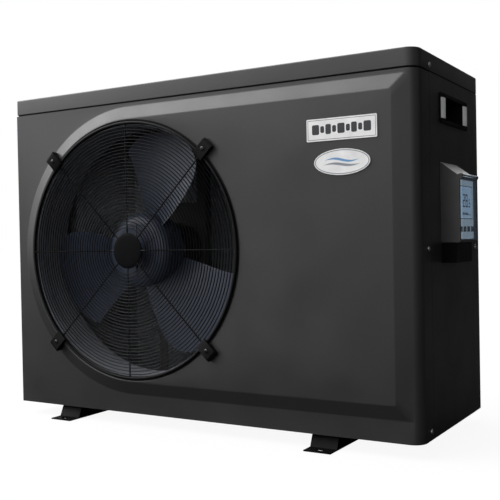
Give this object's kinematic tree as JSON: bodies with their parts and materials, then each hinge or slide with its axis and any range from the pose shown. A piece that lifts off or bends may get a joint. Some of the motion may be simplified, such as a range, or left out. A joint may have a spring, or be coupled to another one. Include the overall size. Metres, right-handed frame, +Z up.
{
  "type": "pool heat pump",
  "caption": "Free-standing air-source pool heat pump: sheet-metal cabinet, round guarded fan outlet, side controller with hinged lid, rear water unions and foot rails.",
  "frame": {"origin": "centre of the overall box at ground level", "axes": "+Z up, the fan outlet faces -Y, the controller is on the +X side"},
  "size_m": [0.9132, 0.418, 0.654],
  "materials": {
    "casing_paint": "satin powder coat, charcoal grey",
    "black_plastic": "fine moulded texture",
    "fan_plastic": "glass-filled moulding, slight blue cast",
    "guard_wire": "black plastic-coated wire",
    "foot_steel": "black coated folded steel",
    "zinc_steel": "zinc-plated",
    "aluminium_fin": "pressed fins",
    "copper_tube": null,
    "brass_body": "machined",
    "black_paint": "gloss enamel",
    "rubber_mount": "matt",
    "pvc_white": "moulded",
    "circuit_board": "solder mask",
    "display_glass": "display window",
    "clear_lid": "clear tinted polycarbonate",
    "key_grey": "moulded key",
    "membrane_grey": "printed membrane, blue-grey",
    "label_white": "satin label"
  },
  "bodies": {
    "cabinet": {"front_panel": "casing_paint", "top_cover": "casing_paint", "base_pan": "casing_paint", "right_side_panel": "casing_paint", "left_side_panel": "casing_paint", "rear_corner_post": "casing_paint", "rear_service_panel": "casing_paint", "fan_shroud": "casing_paint", "fan_guard": "guard_wire", "rear_coil_guard": "guard_wire", "left_coil_guard": "guard_wire", "guard_clip_upper_right": "black_plastic", "guard_clip_upper_left": "black_plastic", "guard_clip_lower_left": "black_plastic", "guard_clip_lower_right": "black_plastic", "handle_cup_right": "black_plastic", "handle_cup_left": "black_plastic", "controller_housing": "black_plastic", "cable_gland": "black_plastic", "terminal_block": "black_plastic", "foot_rail_left": "foot_steel", "foot_rail_right": "foot_steel", "motor_bracket": "zinc_steel", "partition_panel": "zinc_steel", "electrical_box": "zinc_steel", "lid_hinge_pin": "zinc_steel", "case_screw_lid": "zinc_steel", "case_screw_mid": "zinc_steel", "case_screw_low": "zinc_steel", "case_screw_rear": "zinc_steel", "evaporator_coil": "aluminium_fin", "coil_manifold": "copper_tube", "discharge_pipe": "copper_tube", "suction_pipe": "copper_tube", "reversing_valve": "brass_body", "expansion_valve": "brass_body", "fan_motor": "black_paint", "compressor": "black_paint", "accumulator": "black_paint", "compressor_grommet_a": "rubber_mount", "compressor_grommet_b": "rubber_mount", "compressor_grommet_c": "rubber_mount", "heat_exchanger": "pvc_white", "inlet_tailpiece": "pvc_white", "outlet_tailpiece": "pvc_white", "control_board": "circuit_board", "controller_display": "display_glass", "controller_faceplate": "membrane_grey", "nameplate": "label_white", "oval_badge": "label_white"},
    "fan": {"fan_rotor": "fan_plastic", "fan_shaft": "zinc_steel", "fan_lock_nut": "zinc_steel"},
    "controller_lid": {"controller_lid": "clear_lid"},
    "button_power": {"button_power": "key_grey"},
    "button_mode": {"button_mode": "key_grey"},
    "button_down": {"button_down": "key_grey"},
    "button_up": {"button_up": "key_grey"},
    "inlet_nut": {"inlet_union_nut": "black_plastic"},
    "outlet_nut": {"outlet_union_nut": "black_plastic"}
  },
  "joints": [
    {"name": "fan_spin", "type": "hinge", "parent": "cabinet", "child": "fan", "pos_m": [-0.15595, -0.134, 0.338], "axis": [0, 1, 0], "continuous": true},
    {"name": "lid_hinge", "type": "hinge", "parent": "cabinet", "child": "controller_lid", "pos_m": [0.45385, -0.034, 0.4556], "axis": [0, -1, 0], "range_deg": [0, 115]},
    {"name": "inlet_nut_turn", "type": "hinge", "parent": "cabinet", "child": "inlet_nut", "pos_m": [0.32205, 0.185, 0.14], "axis": [0, 1, 0], "continuous": true},
    {"name": "outlet_nut_turn", "type": "hinge", "parent": "cabinet", "child": "outlet_nut", "pos_m": [0.32205, 0.185, 0.322], "axis": [0, 1, 0], "continuous": true},
    {"name": "button_power_press", "type": "slide", "parent": "cabinet", "child": "button_power", "axis": [-1, 0, 0], "range_m": [0, 0.001]},
    {"name": "button_mode_press", "type": "slide", "parent": "cabinet", "child": "button_mode", "axis": [-1, 0, 0], "range_m": [0, 0.001]},
    {"name": "button_down_press", "type": "slide", "parent": "cabinet", "child": "button_down", "axis": [-1, 0, 0], "range_m": [0, 0.001]},
    {"name": "button_up_press", "type": "slide", "parent": "cabinet", "child": "button_up", "axis": [-1, 0, 0], "range_m": [0, 0.001]}
  ]
}
